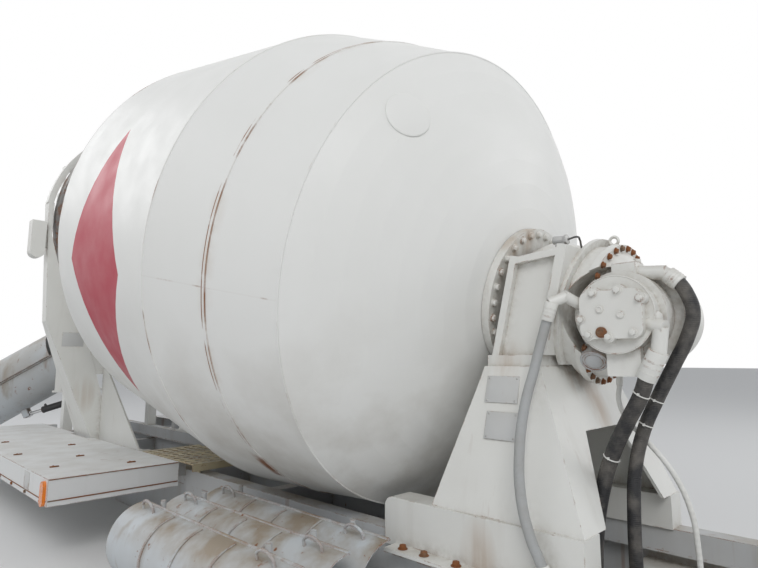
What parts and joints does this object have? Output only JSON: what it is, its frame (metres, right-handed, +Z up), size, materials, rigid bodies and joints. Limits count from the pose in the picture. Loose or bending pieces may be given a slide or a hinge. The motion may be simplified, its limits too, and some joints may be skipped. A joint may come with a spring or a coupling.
{
  "type": "concrete mixer body for a truck chassis",
  "caption": "Mixer drum on its own frame rails, with drive, pedestals, ring rollers, hoppers, fender decks and a swinging folding chute.",
  "frame": {"origin": "midway between the frame rails, on their underside, at the centre of the pattern of fixing holes, below the drum's drive flange", "axes": "+Z up, -Y towards the drive end (the truck's front), +Y towards the chutes, +X to the truck's left"},
  "size_m": [2.432, 7.2475, 3.04],
  "materials": {
    "white_paint": "semi-gloss, dusty",
    "frame_paint": "satin, grimy",
    "chute_paint": "matt, worn",
    "black_paint": "satin",
    "bare_steel": "worn",
    "galvanised": "dull",
    "chrome_rod": "polished",
    "black_hose": "matt",
    "grey_hose": "matt",
    "white_tube": "matt",
    "lamp_lens": "gloss"
  },
  "bodies": {
    "root": {"frame_rails": "frame_paint", "subframe": "frame_paint", "crossmembers": "frame_paint", "pedestal_sills": "white_paint", "front_pedestal": "white_paint", "yoke": "white_paint", "gearbox": "white_paint", "hydraulic_motor": "white_paint", "hose_bracket": "frame_paint", "hose_fittings": "bare_steel", "hose_supply": "black_hose", "hose_return": "black_hose", "hose_drain": "white_tube", "hose_side": "grey_hose", "rear_posts": "white_paint", "post_gussets": "white_paint", "roller_beam": "white_paint", "roller_brackets": "white_paint", "hoop": "white_paint", "lamp_shield": "white_paint", "fender_decks": "white_paint", "deck_arms": "white_paint", "marker_lamps": "lamp_lens", "step_plate": "galvanised", "ladder": "white_paint", "chute_rack": "frame_paint", "stowed_chutes": "chute_paint", "collection_hopper": "white_paint", "turntable_post": "white_paint"},
    "drum": {"drive_flange": "white_paint", "drum_head": "white_paint", "drum_front_course": "white_paint", "drum_belly": "white_paint", "drum_rear_cone": "white_paint", "track_ring": "bare_steel", "drum_fins": "bare_steel"},
    "roller_left": {"roller_left": "bare_steel"},
    "roller_right": {"roller_right": "bare_steel"},
    "charge_hopper": {"charge_hopper": "white_paint"},
    "turntable": {"chute_turntable": "white_paint"},
    "main_chute": {"main_chute": "chute_paint"},
    "fold_chute": {"fold_chute": "chute_paint"},
    "lift_barrel": {"lift_barrel": "black_paint"},
    "lift_rod": {"lift_rod": "chrome_rod"}
  },
  "joints": [
    {"name": "drum_turn", "type": "hinge", "parent": "root", "child": "drum", "pos_m": [0, 0, 1.275], "axis": [0, 0.9716, 0.2367], "continuous": true},
    {"name": "roller_left_turn", "type": "hinge", "parent": "root", "child": "roller_left", "pos_m": [0.50097, 3.66422, 1.27448], "axis": [0, 0.9716, 0.2367], "continuous": true},
    {"name": "roller_right_turn", "type": "hinge", "parent": "root", "child": "roller_right", "pos_m": [-0.50097, 3.66422, 1.27448], "axis": [0, 0.9716, 0.2367], "continuous": true},
    {"name": "charge_hopper_flip", "type": "hinge", "parent": "root", "child": "charge_hopper", "pos_m": [0, 5.13, 2.7], "axis": [-1, 0, 0], "range_deg": [0, 75]},
    {"name": "chute_swing", "type": "hinge", "parent": "root", "child": "turntable", "pos_m": [0, 5.16, 0.62], "axis": [0, 0, 1], "range_deg": [-135, 45]},
    {"name": "chute_tilt", "type": "hinge", "parent": "turntable", "child": "main_chute", "pos_m": [-0.10607, 5.26607, 1.05], "axis": [0.7071, 0.7071, 0], "range_deg": [-4, 28]},
    {"name": "chute_fold", "type": "hinge", "parent": "main_chute", "child": "fold_chute", "pos_m": [-0.90273, 6.06273, 0.47343], "axis": [-0.7071, -0.7071, 0], "range_deg": [0, 180]},
    {"name": "lift_barrel_turn", "type": "hinge", "parent": "turntable", "child": "lift_barrel", "pos_m": [-0.09192, 5.25192, 0.6], "axis": [0.7071, 0.7071, 0], "range_deg": [-10, 32]},
    {"name": "lift_rod_slide", "type": "slide", "parent": "lift_barrel", "child": "lift_rod", "axis": [-0.6748, 0.6748, -0.2987], "range_m": [-0.04, 0.23]}
  ],
  "couplings": [
    {"joint": "lift_barrel_turn", "follows": "chute_tilt", "ratio": 1.035},
    {"joint": "lift_rod_slide", "follows": "chute_tilt", "m_per_rad": 0.445}
  ]
}
